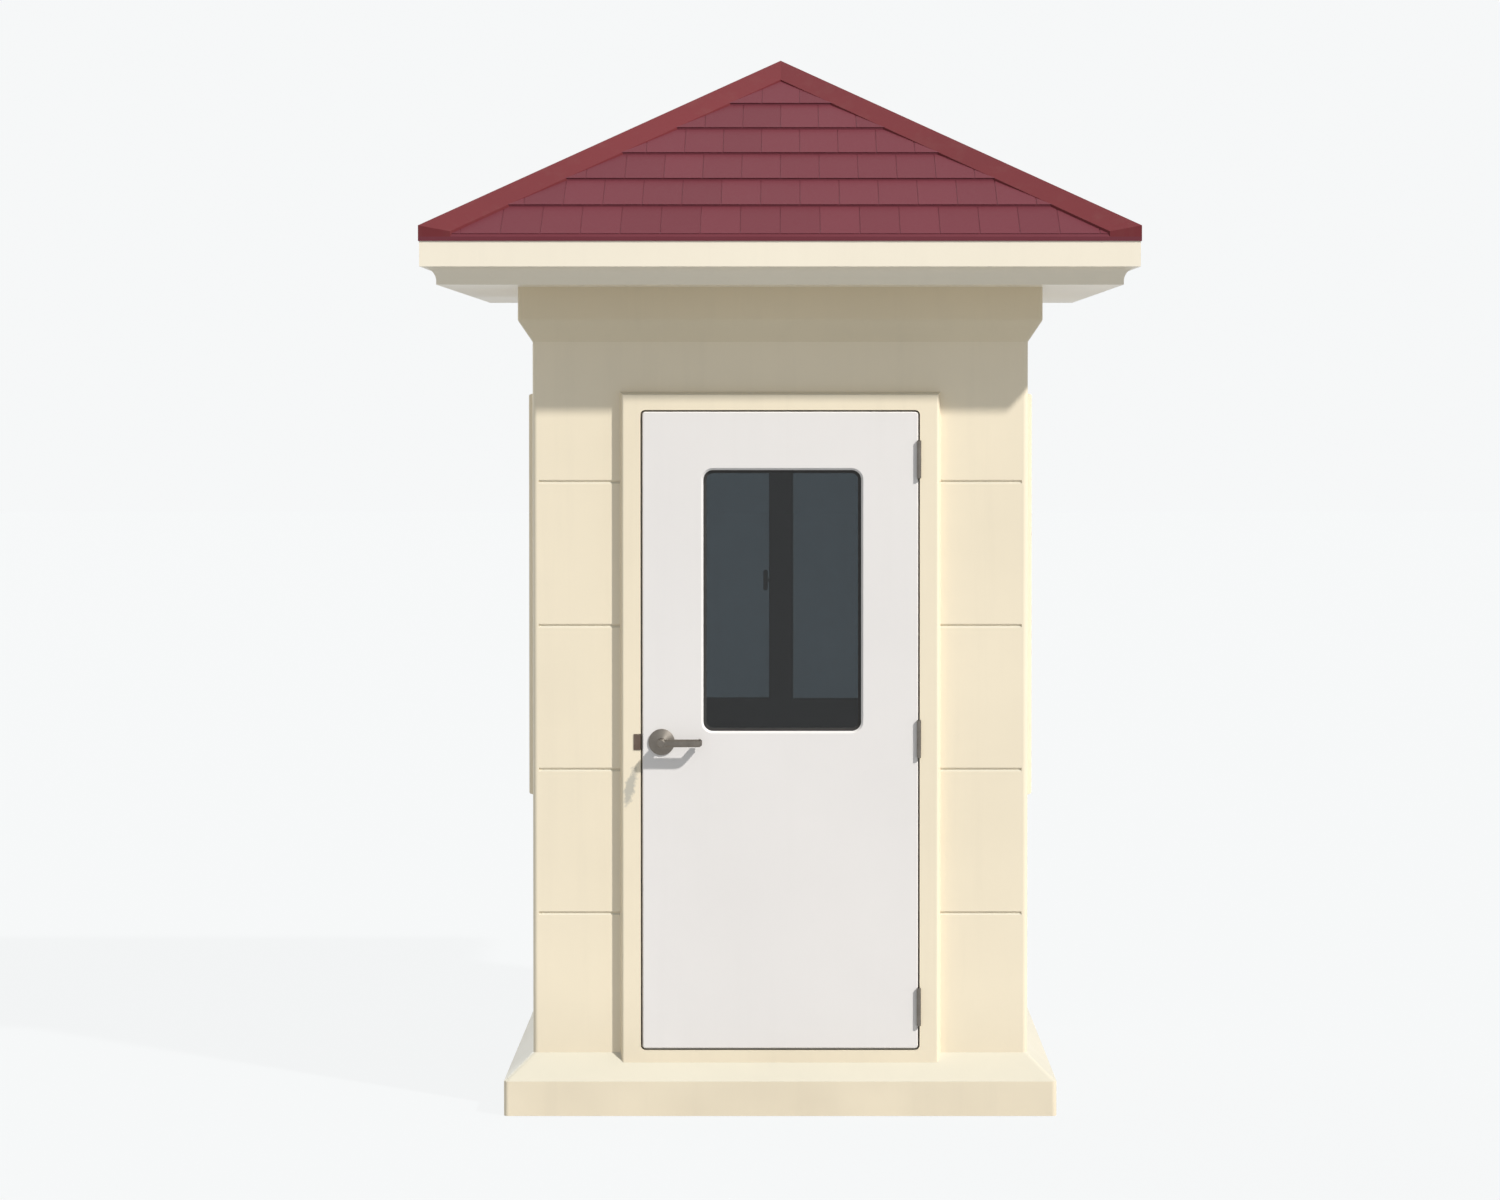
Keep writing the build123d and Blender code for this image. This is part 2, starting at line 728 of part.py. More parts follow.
# Levers: a neck in the rose, half the square spindle, and a flat-sided bar that turns back to the leaf
lever_line = -wall_half - leaf_front - lever_standoff
lever_inner = lever_line + lever_thickness / 2
lever_outer = lever_line - lever_thickness / 2
lever_tip = lock_along + lever_length
with BuildPart() as outer_lever:
    with BuildSketch(plan_plane("front", lock_height - lever_height / 2)):
        with BuildLine():
            Polyline(
                (lock_along, lever_inner),
                (lock_along, lever_outer),
                (lever_tip, lever_outer),
                (lever_tip, lever_outer + lever_return),
                (lever_tip - lever_thickness, lever_outer + lever_return),
                (lever_tip - lever_thickness, lever_inner),
                close=True,
            )
        make_face()
        fillet(vertices().sort_by_distance((lever_tip, lever_outer, lock_height))[0], lever_bend)
    extrude(amount=lever_height)
    chamfer(faces().filter_by(Axis.Z).edges(), lever_bevel)
    with BuildSketch(face_plane("front", leaf_front + plate_thickness)):
        with Locations((lock_along, lock_height)):
            Circle(neck_radius)
    extrude(amount=lever_standoff + lever_thickness / 2 + neck_proud - plate_thickness)
    chamfer(faces().sort_by(Axis.Y)[0].edges(), neck_bevel)
    with BuildSketch(face_plane("front", leaf_middle)):
        with Locations((lock_along, lock_height)):
            Rectangle(spindle_side, spindle_side)
    extrude(amount=leaf_front - leaf_middle + lever_standoff)
outer_lever.part.label = "outer_lever"
export_step(outer_lever.part, "parts/outer_lever.step")

with BuildPart() as inner_lever:
    add(mirror(outer_lever.part, about=leaf_mirror, mode=Mode.PRIVATE))
inner_lever.part.label = "inner_lever"
export_step(inner_lever.part, "parts/inner_lever.step")

# Latch plate, let into the closing edge of the leaf
with BuildPart() as latch_plate:
    with BuildSketch(plan_plane("front", lock_height - latch_plate_height / 2)):
        with Locations((plate_thickness / 2 - leaf_half, -wall_half - leaf_middle)):
            Rectangle(plate_thickness, latch_plate_width)
    extrude(amount=latch_plate_height)
latch_plate.part.label = "latch_plate"
export_step(latch_plate.part, "parts/latch_plate.step")

# Strike: let into the jamb, with a bolt hole and a lip over the face of the surround
with BuildPart() as strike_plate:
    strike_front = -wall_half - leaf_front
    with BuildSketch(plan_plane("front", lock_height - strike_height / 2)):
        with BuildLine():
            Polyline(
                (-opening_half, strike_front + strike_depth),
                (-opening_half, strike_front - plate_thickness),
                (-opening_half - strike_lip, strike_front - plate_thickness),
                (-opening_half - strike_lip, strike_front),
                (-opening_half - plate_thickness, strike_front),
                (-opening_half - plate_thickness, strike_front + strike_depth),
                close=True,
            )
        make_face()
    extrude(amount=strike_height)
    with BuildSketch(section_plane("front", -opening_half + overrun)):
        with Locations((wall_half + leaf_middle, lock_height)):
            Rectangle(strike_hole_depth, strike_hole_height)
    extrude(amount=2 * overrun, mode=Mode.SUBTRACT)
strike_plate.part.label = "strike_plate"
export_step(strike_plate.part, "parts/strike_plate.step")

# Hinges: the outer and middle knuckles and the pin stay with the jamb, the others with the leaf
hinge_along = leaf_half + leaf_gap / 2
hinge_line = -wall_half - leaf_front - hinge_radius - hinge_standoff
knuckle_pitch = hinge_length / knuckle_count
knuckle_length = knuckle_pitch - knuckle_clearance
pin_bore = hinge_pin_radius + hinge_pin_clearance
for name, first, plate_along, pin_radius, pin_mode in (
    ("frame", 0, opening_half + plate_thickness / 2, hinge_pin_radius, Mode.ADD),
    ("door", 1, leaf_half - plate_thickness / 2, pin_bore, Mode.SUBTRACT),
):
    with BuildPart() as hinges:
        for height in hinge_heights:
            foot = height - hinge_length / 2
            with BuildSketch(plan_plane("front", foot)):
                with Locations((plate_along, -wall_half - leaf_front + hinge_plate_depth / 2)):
                    Rectangle(plate_thickness, hinge_plate_depth)
            extrude(amount=hinge_length)
            for n in range(first, knuckle_count, 2):
                with BuildSketch(plan_plane("front", foot + n * knuckle_pitch + knuckle_clearance / 2)):
                    with Locations((hinge_along, hinge_line)):
                        Circle(hinge_radius)
                    with Locations((plate_along, (hinge_line - wall_half - leaf_front) / 2)):
                        Rectangle(plate_thickness, hinge_radius + hinge_standoff)
                extrude(amount=knuckle_length)
            with BuildSketch(plan_plane("front", foot + knuckle_clearance / 2)):
                with Locations((hinge_along, hinge_line)):
                    Circle(pin_radius)
            extrude(amount=hinge_length - knuckle_clearance, mode=pin_mode)
    hinges.part.label = f"hinge_{name}_leaves"
    export_step(hinges.part, f"parts/hinge_{name}_leaves.step")
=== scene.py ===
import math
import random

import bmesh
import bpy
from mathutils import Matrix, Vector


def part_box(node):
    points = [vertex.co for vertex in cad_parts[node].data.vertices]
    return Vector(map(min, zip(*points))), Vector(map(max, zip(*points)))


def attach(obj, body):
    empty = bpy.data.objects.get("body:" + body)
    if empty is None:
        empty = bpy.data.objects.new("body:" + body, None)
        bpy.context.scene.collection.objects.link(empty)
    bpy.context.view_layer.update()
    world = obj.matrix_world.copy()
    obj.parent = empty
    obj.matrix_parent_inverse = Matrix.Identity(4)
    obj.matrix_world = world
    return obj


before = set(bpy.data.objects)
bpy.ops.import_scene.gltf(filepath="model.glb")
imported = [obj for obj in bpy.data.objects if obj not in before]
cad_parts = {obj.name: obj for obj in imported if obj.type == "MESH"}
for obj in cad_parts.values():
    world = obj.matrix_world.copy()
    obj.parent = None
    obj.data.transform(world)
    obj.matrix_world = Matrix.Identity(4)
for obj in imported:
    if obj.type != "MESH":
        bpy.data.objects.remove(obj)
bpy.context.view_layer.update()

# Base skirt: the plinth and its sloping skirt are one fibreglass moulding in cream gelcoat, with
# the slow waves of its mould. It stands on the ground, so rain splashes a little soil up its
# face. Its slope is darkened with a dust tone that is partly settled dust and partly painted
# shade, holding back the strong lamp light on upward faces.


def add_node(tree, kind, inputs=None, **settings):
    node = tree.nodes.new("ShaderNode" + kind)
    for setting, value in settings.items():
        setattr(node, setting, value)
    for socket, value in (inputs or {}).items():
        if isinstance(value, bpy.types.NodeSocket):
            tree.links.new(value, node.inputs[socket])
        else:
            node.inputs[socket].default_value = value
    return node


def object_place(tree):
    return add_node(tree, "TexCoord").outputs["Object"]


def stretched(tree, place, scale):
    return add_node(tree, "Mapping", {"Vector": place, "Scale": scale}).outputs["Vector"]


def noise(tree, place, scale, detail, roughness=0.5, distortion=0.0):
    cloud = add_node(tree, "TexNoise", {"Vector": place, "Scale": scale, "Detail": detail,
                                        "Roughness": roughness, "Distortion": distortion})
    return cloud.outputs["Fac"]


def remap(tree, value, start, end, low=0.0, high=1.0, **settings):
    step = add_node(tree, "MapRange", {"Value": value, "From Min": start, "From Max": end,
                                       "To Min": low, "To Max": high}, **settings)
    return step.outputs["Result"]


def combine(tree, operation, *values):
    return add_node(tree, "Math", dict(enumerate(values)), operation=operation).outputs[0]


def mix_colour(tree, mask, first, second):
    ends = [end if isinstance(end, bpy.types.NodeSocket) else (*end, 1) for end in (first, second)]
    return add_node(tree, "MixRGB", {"Fac": mask, "Color1": ends[0], "Color2": ends[1]}).outputs[0]


def scale_colour(tree, colour, share):
    return add_node(tree, "VectorMath", {0: colour, "Scale": share}, operation="SCALE").outputs[0]


def effect_group(name, inputs, outputs):
    group = bpy.data.node_groups.new(name, "ShaderNodeTree")
    for socket, kind, value in inputs:
        made = group.interface.new_socket(socket, in_out="INPUT", socket_type="NodeSocket" + kind)
        made.default_value = value
    for socket, kind in outputs:
        group.interface.new_socket(socket, in_out="OUTPUT", socket_type="NodeSocket" + kind)
    return group, group.nodes.new("NodeGroupInput").outputs, group.nodes.new("NodeGroupOutput").inputs


def new_finish(name):
    finish = bpy.data.materials.new(name)
    finish.use_nodes = True
    return finish, finish.node_tree, finish.node_tree.nodes["Principled BSDF"].inputs


def lay_surface(tree, shader, colour, roughness, height, strength, depth):
    bump = add_node(tree, "Bump", {"Height": height, "Strength": strength, "Distance": depth})
    tree.links.new(colour, shader["Base Color"])
    tree.links.new(roughness, shader["Roughness"])
    tree.links.new(bump.outputs["Normal"], shader["Normal"])


def dress(names, finish):
    for name in names:
        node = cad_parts[name]
        if not node.material_slots:
            node.data.materials.append(finish)
        for slot in node.material_slots:
            slot.material = finish


# A mask of upward faces. It carries dust on ledges and, on the cream mouldings, painted shade as well.
upward_faces, facing_up_in, facing_up_out = effect_group(
    "upward_faces", [("Start", "Float", 0.3), ("Full", "Float", 0.75)], [("Mask", "Float")])
facing = add_node(upward_faces, "NewGeometry").outputs["Normal"]
upward = add_node(upward_faces, "SeparateXYZ", {"Vector": facing}).outputs["Z"]
upward_faces.links.new(remap(upward_faces, upward, facing_up_in["Start"], facing_up_in["Full"]), facing_up_out["Mask"])

cream = (0.87, 0.765, 0.585)
rain_grime = (0.33, 0.30, 0.24)
splashed_soil = (0.30, 0.24, 0.17)
# The dust tone on upward cream faces is partly settled dust and partly painted shade against the key lamp.
dust_and_shade_tone = (0.53, 0.525, 0.455)
splash_height = 0.42
slope_dust_and_shade = 0.60

gelcoat_wear, wear_in, wear_out = effect_group(
    "gelcoat_wear",
    [("Colour", "Color", (*cream, 1)), ("Drift", "Float", 0.03), ("Streak", "Float", 0.05),
     ("Soil", "Float", 0.2), ("Dust and shade", "Float", 0.0), ("Gloss", "Float", 0.36)],
    [("Colour", "Color"), ("Roughness", "Float"), ("Height", "Float")])
place = object_place(gelcoat_wear)
broad = noise(gelcoat_wear, place, scale=1.7, detail=4.0, roughness=0.55)
wave = noise(gelcoat_wear, place, scale=4.5, detail=1.0)
peel = noise(gelcoat_wear, place, scale=340.0, detail=2.0)
run_down = stretched(gelcoat_wear, place, (16.0, 16.0, 0.8))
rain = noise(gelcoat_wear, run_down, scale=1.0, detail=5.0, roughness=0.62)
drift = remap(gelcoat_wear, broad, 0.3, 0.7, -1.0, 1.0)
drift_step = combine(gelcoat_wear, "MULTIPLY_ADD", drift, wear_in["Drift"], 1.0)
streak = combine(gelcoat_wear, "MULTIPLY", remap(gelcoat_wear, rain, 0.52, 0.78), wear_in["Streak"])
height = add_node(gelcoat_wear, "SeparateXYZ", {"Vector": place}).outputs["Z"]
splash = remap(gelcoat_wear, height, 0.0, splash_height, 1.0, 0.0, interpolation_type="SMOOTHERSTEP")
mottle = remap(gelcoat_wear, wave, 0.25, 0.75, 0.35, 1.0)
splashed = combine(gelcoat_wear, "MULTIPLY", splash, mottle)
soil = combine(gelcoat_wear, "MULTIPLY", splashed, wear_in["Soil"])
clean_coat = scale_colour(gelcoat_wear, wear_in["Colour"], drift_step)
rained_coat = mix_colour(gelcoat_wear, streak, clean_coat, rain_grime)
soiled_coat = mix_colour(gelcoat_wear, soil, rained_coat, splashed_soil)
dusted_and_shaded_coat = mix_colour(gelcoat_wear, wear_in["Dust and shade"], soiled_coat, dust_and_shade_tone)
dull = combine(gelcoat_wear, "MULTIPLY_ADD", drift, 0.05, wear_in["Gloss"])
soiled_dull = combine(gelcoat_wear, "MULTIPLY_ADD", soil, 0.6, dull)
skin = combine(gelcoat_wear, "MULTIPLY_ADD", peel, 0.12, wave)
gelcoat_wear.links.new(dusted_and_shaded_coat, wear_out["Colour"])
gelcoat_wear.links.new(soiled_dull, wear_out["Roughness"])
gelcoat_wear.links.new(skin, wear_out["Height"])


def gelcoat_finish(name, colour, drift=0.03, streak=0.05, soil=0.2, dust_and_shade=0.0, gloss=0.36,
                   relief=0.0015, shine=0.3):
    finish, tree, shader = new_finish(name)
    wear = add_node(tree, "Group", {"Colour": (*colour, 1), "Drift": drift, "Streak": streak, "Soil": soil,
                                    "Gloss": gloss}, node_tree=gelcoat_wear)
    # Upward faces take the dust tone, which on the cream mouldings is partly painted shade.
    if dust_and_shade:
        ledge = add_node(tree, "Group", node_tree=upward_faces).outputs["Mask"]
        tree.links.new(combine(tree, "MULTIPLY", ledge, dust_and_shade), wear.inputs["Dust and shade"])
    lay_surface(tree, shader, wear.outputs["Colour"], wear.outputs["Roughness"], wear.outputs["Height"],
                strength=0.5, depth=relief)
    shader["Specular IOR Level"].default_value = shine
    return finish


cream_gelcoat = gelcoat_finish("cream_gelcoat", cream, dust_and_shade=slope_dust_and_shade)
dress(["base_skirt"], cream_gelcoat)

# Floor deck: sealed plywood boards laid on the ledge inside the skirt. The face grain runs
# front to back, and boots have dulled and greyed it in patches.
board_width = 0.42
dark_grain = (0.26, 0.17, 0.095)
pale_grain = (0.46, 0.335, 0.205)
boot_grey = (0.34, 0.31, 0.27)
seam_shade = (0.05, 0.035, 0.022)


def ramp(tree, value, start, first, end, second):
    made = add_node(tree, "ValToRGB", {"Fac": value})
    for element, position, colour in zip(made.color_ramp.elements, (start, end), (first, second)):
        element.position = position
        element.color = (*colour, 1)
    return made.outputs["Color"]


floor_board, tree, shader = new_finish("floor_board")
place = object_place(tree)
along_boards = stretched(tree, place, (26.0, 1.6, 26.0))
grain = noise(tree, along_boards, scale=1.0, detail=6.0, roughness=0.6, distortion=0.4)
grained = ramp(tree, grain, 0.30, dark_grain, 0.72, pale_grain)
scuff = remap(tree, noise(tree, place, scale=5.0, detail=5.0), 0.48, 0.75, 0.0, 0.55)
scuffed = mix_colour(tree, scuff, grained, boot_grey)
across = add_node(tree, "SeparateXYZ", {"Vector": place}).outputs["X"]
board_part = combine(tree, "FRACT", combine(tree, "MULTIPLY", across, 1.0 / board_width))
from_middle = combine(tree, "ABSOLUTE", combine(tree, "SUBTRACT", board_part, 0.5))
seam = remap(tree, from_middle, 0.490, 0.496)
lay_surface(tree, shader, mix_colour(tree, seam, scuffed, seam_shade),
            remap(tree, grain, 0.0, 1.0, 0.42, 0.62), combine(tree, "SUBTRACT", grain, seam),
            strength=0.4, depth=0.001)
dress(["floor_deck"], floor_board)

# Walls: four fibreglass panels in the same cream gelcoat, moulded with the level joints of
# large blocks and mitred at the rounded corners. They stand on the skirt and are bonded to it.
dress(["front_wall_left", "front_wall_right", "front_wall_head", "left_wall", "right_wall", "back_wall"],
      cream_gelcoat)

# Window surrounds: raised bands of the same moulding round the three windows. Their edges are
# drafted so that the mould lets go, and they are bonded to the walls.
dress(["left_window_surround", "right_window_surround", "back_window_surround"], cream_gelcoat)

# Door surround: the tallest of the bands, with the lining of the doorway and the stop behind
# the leaf moulded in. A soft, slanting grey patch is laid into its gelcoat colour below the
# strike.
# The grey patch is a darker, soft-edged mark mixed into the surround's colour below the strike.
grey_patch_tone = (0.45, 0.43, 0.37)
patch_aside, patch_drop = 0.031, 0.133
patch_half_width, patch_half_depth, patch_half_height = 0.017, 0.030, 0.066
patch_lean = math.radians(13.0)
strike_low, strike_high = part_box("strike_plate")
surround_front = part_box("door_surround")[0].y
lock_height = (strike_low.z + strike_high.z) / 2
jamb_half = -strike_high.x

patched_gelcoat = gelcoat_finish("patched_gelcoat", cream, dust_and_shade=slope_dust_and_shade)
tree = patched_gelcoat.node_tree
shader = tree.nodes["Principled BSDF"].inputs
place = object_place(tree)
patch = add_node(tree, "Mapping", {
    "Vector": place,
    "Location": (-jamb_half - patch_aside, surround_front, lock_height - patch_drop),
    "Rotation": (0, patch_lean, 0),
    "Scale": (patch_half_width, patch_half_depth, patch_half_height)}, vector_type="TEXTURE")
reach = add_node(tree, "VectorMath", {0: patch.outputs["Vector"]}, operation="LENGTH").outputs["Value"]
crumbs = noise(tree, place, scale=60.0, detail=5.0, roughness=0.65)
ragged = combine(tree, "MULTIPLY_ADD", crumbs, 1.6, reach)
grey_patch_mask = remap(tree, ragged, 1.35, 1.80, 0.8, 0.0)
patched_colour = mix_colour(tree, grey_patch_mask, shader["Base Color"].links[0].from_socket, grey_patch_tone)
tree.links.new(patched_colour, shader["Base Color"])
dress(["door_surround"], patched_gelcoat)

# Windows: sliding sashes of aluminium tube in a fixed track, powder coated near black, with
# grey tinted panes. The coat has a fine orange peel and a little dust lies along its ledges.
coat_black = (0.017, 0.017, 0.018)
track_dust = (0.30, 0.27, 0.22)
dark_frame, tree, shader = new_finish("dark_frame")
place = object_place(tree)
peel = noise(tree, place, scale=620.0, detail=2.0)
drifts = noise(tree, place, scale=9.0, detail=5.0, roughness=0.65)
ledge = add_node(tree, "Group", {"Full": 0.95}, node_tree=upward_faces).outputs["Mask"]
dusty = combine(tree, "MULTIPLY", remap(tree, ledge, 0.0, 1.0, 0.06, 0.5), drifts)
lay_surface(tree, shader, mix_colour(tree, dusty, coat_black, track_dust),
            remap(tree, drifts, 0.0, 1.0, 0.34, 0.56), peel, strength=0.25, depth=0.0003)
dress([side + piece for side in ("left", "right", "back") for piece in ("_window_frame", "_window_sashes")],
      dark_frame)
dress(["window_catches"], dark_frame)

deep_tint = (0.150, 0.182, 0.202)
light_tint = (0.185, 0.216, 0.234)
tinted_glass, tree, shader = new_finish("tinted_glass")
film = noise(tree, object_place(tree), scale=3.0, detail=5.0, roughness=0.6)
tree.links.new(mix_colour(tree, film, deep_tint, light_tint), shader["Base Color"])
shader["Roughness"].default_value = 0.0
shader["Transmission Weight"].default_value = 1.0
shader["IOR"].default_value = 1.45
shader["Specular IOR Level"].default_value = 0.15
dress(["left_window_glass", "right_window_glass", "back_window_glass"], tinted_glass)

# Glazing strips: black rubber wedges pressed between each pane and its sash, on both faces.
# They are cut square at the corners, are matt, and have greyed a little in the sun.
fresh_rubber = (0.010, 0.010, 0.010)
greyed_rubber = (0.045, 0.043, 0.040)
black_rubber, tree, shader = new_finish("black_rubber")
bloom = noise(tree, object_place(tree), scale=30.0, detail=4.0)
lay_surface(tree, shader, ramp(tree, bloom, 0.0, fresh_rubber, 1.0, greyed_rubber),
            remap(tree, bloom, 0.0, 1.0, 0.6, 0.85), bloom, strength=0.2, depth=0.0004)

strip_width, strip_height, strip_round = 0.007, 0.005, 0.0015
pane_thickness = 0.005
meeting_half = 0.033
pane_low, pane_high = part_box("back_window_glass")
panes = ((meeting_half, pane_high.x, pane_high.y - pane_thickness, pane_high.y),
         (pane_low.x, -meeting_half, pane_low.y, pane_low.y + pane_thickness))


def block(bm, low, high):
    size = Vector(high) - Vector(low)
    lie = Matrix.Translation((Vector(low) + Vector(high)) / 2) @ Matrix.Diagonal((*size, 1))
    bmesh.ops.create_cube(bm, size=1.0, matrix=lie)


def turn_to_side(bm, quarter_turns):
    turn = Matrix.Rotation(quarter_turns * math.pi / 2, 3, "Z")
    bmesh.ops.rotate(bm, verts=bm.verts[:], cent=(0, 0, 0), matrix=turn)


def mesh_object(name, bm, finish):
    mesh = bpy.data.meshes.new(name)
    bm.to_mesh(mesh)
    bm.free()
    mesh.materials.append(finish)
    made = bpy.data.objects.new(name, mesh)
    bpy.context.scene.collection.objects.link(made)
    return made


def new_piece(name, bm, finish, body):
    piece = mesh_object(name, bm, finish)
    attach(piece, body)


for quarter_turns, side in ((1, "right"), (2, "back"), (3, "left")):
    bm = bmesh.new()
    for start, end, inner, outer in panes:
        for near, far in ((-outer - strip_height, -outer), (-inner, -inner + strip_height)):
            for foot in (start, end - strip_width):
                block(bm, (foot, near, pane_low.z), (foot + strip_width, far, pane_high.z))
            for foot in (pane_low.z, pane_high.z - strip_width):
                block(bm, (start + strip_width, near, foot), (end - strip_width, far, foot + strip_width))
    bmesh.ops.bevel(bm, geom=bm.edges[:], offset=strip_round, affect="EDGES", segments=2, profile=0.5,
                    material=-1)
    turn_to_side(bm, quarter_turns)
    new_piece(side + "_glazing_strips", bm, black_rubber, "booth")

# Head of the cabin: the collar that flares from the walls, and the cornice with its soffit,
# cove and fascia. The collar's cream is darker with painted shade from the eave over it, and
# the cornice's is paler with painted light. The ceiling is a thin white panel.
# Painted shade darkens the collar's cream, and painted light brightens the cornice's cream.
shaded_collar_cream = (0.80, 0.690, 0.500)
lit_cornice_cream = (0.905, 0.820, 0.670)
ceiling_white = (0.80, 0.80, 0.775)
shaded_collar_gelcoat = gelcoat_finish("shaded_collar_gelcoat", shaded_collar_cream, soil=0.0)
lit_cornice_gelcoat = gelcoat_finish("lit_cornice_gelcoat", lit_cornice_cream, drift=0.02, streak=0.03, soil=0.0)
white_panel = gelcoat_finish("white_panel", ceiling_white, drift=0.015, streak=0.0, soil=0.0, gloss=0.5,
                             relief=0.0008)
dress(["collar"], shaded_collar_gelcoat)
dress(["cornice"], lit_cornice_gelcoat)
dress(["ceiling_panel"], white_panel)

# Roof slopes: four fibreglass panels with stepped courses in a dull red gelcoat, each course
# moulded as a row of square shingle tabs. Sun and dust fade the tabs unevenly.
shingle_red = (0.147, 0.032, 0.043)
faded_red = (0.168, 0.046, 0.060)
red_shingle, tree, shader = new_finish("red_shingle")
place = object_place(tree)
tone = add_node(tree, "Attribute", attribute_name="tab_tone").outputs["Fac"]
fade = noise(tree, place, scale=2.6, detail=5.0, roughness=0.6)
grit = noise(tree, place, scale=420.0, detail=3.0, roughness=0.7)
faded = mix_colour(tree, remap(tree, fade, 0.35, 0.75, 0.0, 0.30), shingle_red, faded_red)
tab_step = combine(tree, "MULTIPLY_ADD", tone, 0.045, 1.0)
gritty_step = combine(tree, "MULTIPLY", tab_step, remap(tree, grit, 0.2, 0.8, 0.92, 1.08))
lay_surface(tree, shader, scale_colour(tree, faded, gritty_step), remap(tree, fade, 0.0, 1.0, 0.42, 0.66),
            grit, strength=0.35, depth=0.0008)
shader["Specular IOR Level"].default_value = 0.12
dress([side + "_roof_slope" for side in ("front", "right", "back", "left")], red_shingle)

tab_width, tab_joint, tab_thickness = 0.113, 0.0024, 0.0014
tab_nose, tab_edge = 0.002, 0.0005
eave_bevel, lip_height = 0.006, 0.018
course_run, course_butt, course_count = 0.156, 0.008, 6
cap_half_width, cap_lap = 0.064, 0.004
cut_tolerance = 1e-6
slope_low, slope_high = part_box("front_roof_slope")
roof_half, apex_rise = slope_high.x, slope_high.z
pitch = (apex_rise - slope_low.z - lip_height) / roof_half
cap_reach = cap_half_width * math.sqrt(2)


def slope_rise(run):
    return apex_rise - pitch * run


def tab_rows():
    eave_run = roof_half - eave_bevel
    butt_runs = [roof_half - course_run * course for course in range(1, course_count)]
    noses = [(eave_run, slope_rise(eave_run))] + [(run, slope_rise(run) + course_butt) for run in butt_runs]
    heads = [(run, slope_rise(run)) for run in (*butt_runs, cap_reach / 2)]
    return zip(noses, heads)


def shingle_tabs(bm, seed):
    tone = bm.faces.layers.float.new("tab_tone")
    pick = random.Random(seed)
    for row, ((nose_run, nose_rise), (head_run, head_rise)) in enumerate(tab_rows()):
        slope = math.atan2(head_rise - nose_rise, nose_run - head_run)
        length = math.hypot(head_rise - nose_rise, nose_run - head_run) + tab_nose
        lie = Matrix.Translation((0, -nose_run, nose_rise)) @ Matrix.Rotation(slope, 4, "X")
        size = Matrix.Diagonal((tab_width - tab_joint, length, tab_thickness, 1))
        stagger = 0.5 * (1 - row % 2)
        count = int(nose_run / tab_width) + 1
        for number in range(-count, count + 1):
            middle = ((number + stagger) * tab_width, length / 2 - tab_nose, tab_thickness / 2)
            made = bmesh.ops.create_cube(bm, size=1.0, matrix=lie @ Matrix.Translation(middle) @ size)
            level = pick.uniform(-1, 1)
            for face in {face for corner in made["verts"] for face in corner.link_faces}:
                face[tone] = level
    bmesh.ops.bevel(bm, geom=bm.edges[:], offset=tab_edge, affect="EDGES", segments=1, profile=0.5,
                    material=-1)


def trim_to_hips(bm):
    for hand in (-1, 1):
        outward = Vector((hand, 1, 0)).normalized()
        cut = bmesh.ops.bisect_plane(bm, geom=bm.verts[:] + bm.edges[:] + bm.faces[:], dist=cut_tolerance,
                                     plane_co=outward * cap_lap - Vector((0, cap_reach, 0)),
                                     plane_no=outward, clear_outer=True)
        rim = [part for part in cut["geom_cut"] if isinstance(part, bmesh.types.BMEdge)]
        bmesh.ops.holes_fill(bm, edges=rim)


first_seed = 3
for quarter_turns, side in enumerate(("front", "right", "back", "left")):
    bm = bmesh.new()
    shingle_tabs(bm, first_seed + quarter_turns)
    trim_to_hips(bm)
    turn_to_side(bm, quarter_turns)
    new_piece(side + "_shingle_tabs", bm, red_shingle, "booth")

# Hip caps: folded fibreglass strips in a fresher red than the courses, seated over the hips
# in sealant and mitred at the apex. Each covers the ends of the tabs on both of its slopes.
cap_red = (0.160, 0.0300, 0.0345)
red_cap = gelcoat_finish("red_cap", cap_red, drift=0.07, streak=0.04, soil=0.0, gloss=0.46, relief=0.0018,
                         shine=0.1)
dress([corner + "_hip_cap" for corner in ("front_left", "front_right", "back_right", "back_left")], red_cap)

# Door leaf: a flat leaf of white skins on a hidden frame, hung flush in its surround and
# glazed above the lock. The skin has a faint roller texture and a little soil at its foot.
door_white = (0.810, 0.775, 0.752)
white_skin = gelcoat_finish("white_skin", door_white, drift=0.018, streak=0.02, soil=0.10, gloss=0.40,
                            relief=0.0010)
dress(["door_leaf"], white_skin)
dress(["door_glass"], tinted_glass)

# Door gasket: a black rubber channel pressed round the edge of the pane. It is matt, and its
# outer lips have greyed in the sun.
dress(["door_gasket"], black_rubber)

# Hinges, lock and lever: pressed and cast stainless steel, brushed to a satin grey and dulled
# by handling. Plates are let in flush and screwed; the lever turns in the roses on a spindle.
handled_steel = (0.150, 0.133, 0.114)
clean_steel = (0.245, 0.222, 0.196)


def steel_finish(name, dark, light):
    finish, tree, shader = new_finish(name)
    place = object_place(tree)
    brushed = noise(tree, stretched(tree, place, (60.0, 900.0, 900.0)), scale=1.0, detail=3.0)
    handled = noise(tree, place, scale=45.0, detail=4.0)
    lay_surface(tree, shader, mix_colour(tree, handled, dark, light),
                remap(tree, brushed, 0.0, 1.0, 0.28, 0.50), brushed, strength=0.15, depth=0.0002)
    shader["Metallic"].default_value = 1.0
    return finish


satin_steel = steel_finish("satin_steel", handled_steel, clean_steel)
dress(["latch_plate", "hinge_frame_leaves", "hinge_door_leaves", "outer_rose", "inner_rose", "outer_lever",
       "inner_lever"], satin_steel)

